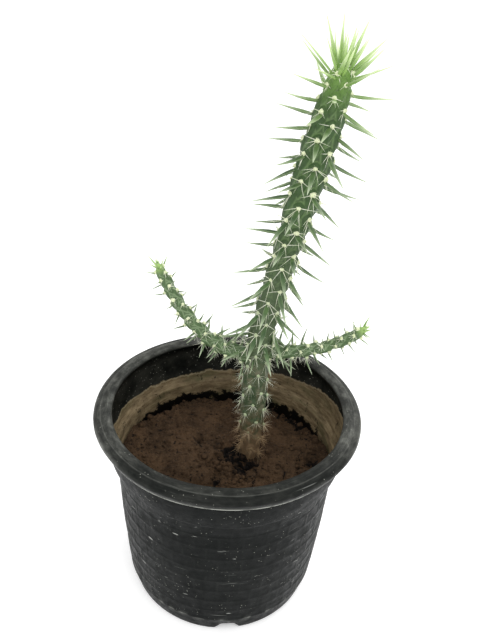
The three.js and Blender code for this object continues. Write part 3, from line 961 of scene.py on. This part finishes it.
bud_leaves("stem_bud_leaves", main_stalk, count=18, reach=0.009, lowest=20, length=0.0325, width=0.0014)
bud_leaves("left_bud_leaves", left_stalk, count=8, reach=0.004, lowest=35, length=0.0070, width=0.0008)
bud_leaves("right_bud_leaves", right_stalk, count=8, reach=0.004, lowest=30, length=0.0080, width=0.0008)


def arm_leaves(name, stalk):
    """Short leaves all along an arm, longer and broader towards its root and upright at its tip."""
    number = np.arange(len(stalk.areole_down) - 4)
    part = stalk.areole_down[number] / stalk.down[-1]
    rise = np.radians(6 + 66 * np.exp(-part / 0.06) + 9 * leaf_chance.normal(0, 1, len(number)))
    length = 0.0108 + 0.0055 * smooth((part - 0.35) / 0.4)
    length = length * leaf_chance.uniform(0.7, 1.25, len(number))
    width = 0.0008 + 0.0008 * smooth((part - 0.3) / 0.4)
    points, along = leaves_on(stalk, number, rise, length, width, 0.0004)
    joined_leaves(name, points, along, np.exp(-part / 0.08) * 0.9)


arm_leaves("left_arm_leaves", left_stalk)
arm_leaves("right_arm_leaves", right_stalk)

# ---------------------------------------------------------------- wool
# Each areole is a cushion of short cream wool, round and bright on new growth, smaller and greyer on
# old, and brown with splashed soil at the foot. Loose hairs stand out of it.

YOUNG_WOOL = 0.0019
OLD_WOOL_LOSS = 0.00065
ARM_WOOL = 0.0014
wool_chance = np.random.default_rng(8)
wool = Nodes("areole_wool", Roughness=0.95, Specular_IOR_Level=0.1)
wool_fresh = wool.mix(wool.patches((900, 4), 0.3, 0.7), rgb(246, 250, 218), rgb(224, 234, 186))
wool_old = wool.mix(wool.ramp(wool.height(), 0.166, 0.136), rgb(180, 194, 156), rgb(124, 106, 80))
wool.colour(wool.mix(wool.attribute("age"), wool_fresh, wool_old))
wool.bump(wool.cloud(2500, 4, 0.8), 0.0006, 0.9)


def spikes(root, direction, bow, length, width, sides, rings=3):
    """Thin cones: rings that shrink to a point along each direction, bowed sideways by a parabola."""
    t = np.linspace(0, 1, rings)[None, :, None, None]
    turn = np.linspace(0, 2 * np.pi, sides, endpoint=False)[None, None, :, None]
    help_axis = np.where(np.abs(direction[:, 2:]) > 0.8, np.array([1.0, 0, 0]), np.array([0, 0, 1.0]))
    across = unit(np.cross(direction, help_axis))
    lift = np.cross(direction, across)
    length, width = (np.asarray(v)[:, None, None, None] for v in (length, width))
    line = root[:, None, None] + direction[:, None, None] * length * t + bow[:, None, None] * length * t**2
    taper = np.maximum(1 - t, 0.06)
    ring = across[:, None, None] * np.cos(turn) + lift[:, None, None] * np.sin(turn)
    points = line + ring * width * taper
    return points, faces_for(len(root), closed_faces(rings, sides), rings * sides)


def random_around(out, up, cross, tilt, azimuth):
    """Directions tilted away from outward by an angle, towards an azimuth measured from downward."""
    aside = cross * np.sin(azimuth)[:, None] - up * np.cos(azimuth)[:, None]
    return unit(out * np.cos(tilt)[:, None] + aside * np.sin(tilt)[:, None])


def areole_wool(name, stalk, number, size, age, hairs):
    """A lumpy cushion on each areole and a few hairs round it."""
    skin_point, out, up, cross = seats(stalk, number)
    lumps, faces = lumps_at(skin_point + out * 0.0004, size, 5, 8, wool_chance, 0.95)
    made = piece(name, lumps, faces, wool.material)
    give(made, "age", np.repeat(age, lumps.shape[1]))
    pick = np.repeat(np.arange(len(number)), hairs)
    tilt = wool_chance.uniform(0.2, 1.4, len(pick))
    azimuth = wool_chance.uniform(0, 2 * np.pi, len(pick))
    direction = random_around(out[pick], up[pick], cross[pick], tilt, azimuth)
    root = skin_point[pick] + direction * size[pick][:, None] * 0.5
    bow = wool_chance.normal(0, 0.15, (len(pick), 3))
    length = size[pick] * wool_chance.uniform(0.7, 1.4, len(pick))
    points, hair_faces = spikes(root, direction, bow, length, size[pick] * 0.06, 3)
    tuft = piece(name + "_hairs", points, hair_faces, wool.material)
    give(tuft, "age", np.repeat(age[pick], points.shape[1] * points.shape[2]))


def whole_arm(stalk):
    """The numbers of the areoles along an arm, without those crowded at its tip and its root."""
    return np.arange(2, len(stalk.areole_down) - 3)


whole_stem = np.arange(1, len(main_stalk.areole_down))
whole_down = main_stalk.areole_down[whole_stem]
stem_age = smooth((whole_down - 0.10) / 0.12)
wool_size = (YOUNG_WOOL - OLD_WOOL_LOSS * stem_age) * wool_chance.uniform(0.8, 1.15, len(whole_stem))
wool_size = wool_size * smooth(whole_down / 0.008 + 0.25)
areole_wool("stem_wool", main_stalk, whole_stem, wool_size, stem_age, 9)
arms = (("left_arm", left_stalk), ("right_arm", right_stalk))
for side_name, stalk in arms:
    arm_number = whole_arm(stalk)
    arm_size = ARM_WOOL * wool_chance.uniform(0.75, 1.15, len(arm_number))
    areole_wool(side_name + "_wool", stalk, arm_number, arm_size, 0 * arm_size, 8)

# ---------------------------------------------------------------- spines
# Stiff straw-white needles from every areole, spreading sideways and down over the skin: short at the
# growing tip, longest half way up, and thinner and more of them on the old corky stem.

CORK_BEGINS = 0.198  # distances down from the tip
FOOT_BEGINS = 0.265
LEAFY_SPINE_WIDTH = 0.00029
OLD_SPINE_WIDTH = 0.00012
FOOT_SPINE_WIDTH = 0.00018
ARM_SPINE_WIDTH = 0.00018
OLD_SPINE_LENGTH = 0.0092
FOOT_SPINE_LENGTH = 0.0090
spine_chance = np.random.default_rng(13)
needle = Nodes("spine_needle", Roughness=0.45, Specular_IOR_Level=0.4)
pale_spine = needle.mix(needle.patches((300,), 0.3, 0.7), rgb(228, 233, 200), rgb(250, 251, 236))
dusty_spine = needle.ramp(needle.height(), 0.176, 0.138)
needle.colour(needle.mix(dusty_spine, pale_spine, rgb(164, 138, 104)))
needle.bump(needle.cloud(1500), 0.0001, 0.3)


def spines_on(name, stalk, number, count, length, width, tilts, spread):
    """Spines fanned round each areole: evenly over the spread to either side of downward, and leaning
    away from outward by between the two tilts in degrees, with some chance in every angle."""
    skin_point, out, up, cross = seats(stalk, number)
    pick = np.repeat(np.arange(len(number)), count)
    within = np.arange(len(pick)) - np.repeat(np.cumsum(count) - count, count)
    place = (within + 0.5) / count[pick] * 2 - 1
    azimuth = place * spread + spine_chance.normal(0, 0.22, len(pick))
    tilt = np.radians(spine_chance.uniform(*tilts, len(pick)))
    direction = random_around(out[pick], up[pick], cross[pick], tilt, azimuth)
    root = skin_point[pick] + out[pick] * 0.0003
    bow = spine_chance.normal(0, 0.04, (len(pick), 3))
    length = np.broadcast_to(length, len(number))[pick] * spine_chance.uniform(0.65, 1.2, len(pick))
    points, faces = spikes(root, direction, bow, length, np.full(len(pick), width), 4)
    made = piece(name, points, faces, needle.material)


old = whole_down > CORK_BEGINS
leafy = whole_stem[~old]
leafy_count = spine_chance.integers(4, 8, len(leafy))
leafy_length = 0.0055 + 0.0080 * smooth(whole_down[~old] / 0.08)
spines_on(
    "leafy_stem_spines", main_stalk, leafy, leafy_count, leafy_length, LEAFY_SPINE_WIDTH, (45, 80), 2.0
)
corky = whole_stem[old]
corky_count = spine_chance.integers(7, 12, len(corky))
spines_on(
    "old_stem_spines", main_stalk, corky, corky_count, OLD_SPINE_LENGTH, OLD_SPINE_WIDTH, (42, 80), 1.5
)
lowest = whole_stem[whole_down > FOOT_BEGINS]
foot_count = np.full(len(lowest), 9)
spines_on(
    "stem_foot_spines", main_stalk, lowest, foot_count, FOOT_SPINE_LENGTH, FOOT_SPINE_WIDTH, (25, 75), 2.4
)
for side_name, stalk in arms:
    arm_number = whole_arm(stalk)
    arm_part = stalk.areole_down[arm_number] / stalk.down[-1]
    arm_count = spine_chance.integers(9, 15, len(arm_number))
    arm_length = 0.0048 + 0.0030 * smooth((arm_part - 0.3) / 0.4)
    spines_on(
        side_name + "_spines", stalk, arm_number, arm_count, arm_length, ARM_SPINE_WIDTH, (30, 78), 2.6
    )

# ---------------------------------------------------------------- floor and light
# A plain white floor that runs past the edge of view under an even white sky, and two soft square
# lamps, one above in front and one behind to the right. The floor glows faintly too: painted light
# that pales the shadows on it and lights the pot's foot.

floor_mesh = bpy.data.meshes.new("floor")
floor_mesh.from_pydata([(-20, -20, 0), (20, -20, 0), (20, 20, 0), (-20, 20, 0)], [], [(0, 1, 2, 3)])
# A faint glow in the floor: painted light that pales its shadows.
glow = {"Emission_Color": (1, 1, 1, 1), "Emission_Strength": 0.25}
floor_paint = Nodes("floor_paint", Roughness=0.9, Specular_IOR_Level=0.1, **glow)
floor_paint.colour(floor_paint.mix(floor_paint.cloud(3), (0.96, 0.96, 0.96, 1), (0.97, 0.97, 0.97, 1)))
floor_mesh.materials.append(floor_paint.material)
floor = bpy.data.objects.new("floor", floor_mesh)
bpy.context.scene.collection.objects.link(floor)

sky = bpy.data.worlds.new("sky")
sky.use_nodes = True
sky.node_tree.nodes["Background"].inputs["Color"].default_value = (1, 1, 1, 1)
sky.node_tree.nodes["Background"].inputs["Strength"].default_value = 1.03
bpy.context.scene.world = sky
bpy.context.scene.view_settings.view_transform = "Standard"


def soft_lamp(name, place, aim, size, power):
    """A square area lamp at a place, turned towards another."""
    data = bpy.data.lights.new(name, "AREA")
    data.size = size
    data.energy = power
    lamp = bpy.data.objects.new(name, data)
    back = unit(np.array(place) - np.array(aim))
    across = unit(np.cross((0, 0, 1), back))
    turned = np.eye(4)
    turned[:3, 0], turned[:3, 1], turned[:3, 2], turned[:3, 3] = across, np.cross(back, across), back, place
    lamp.matrix_world = Matrix(turned.tolist())
    bpy.context.scene.collection.objects.link(lamp)


soft_lamp("key_lamp", (0.1, -0.9, 1.6), (0, 0, 0.2), 1.2, 10)
soft_lamp("back_lamp", (0.8, 0.9, 1.3), (0, 0, 0.2), 0.9, 8)
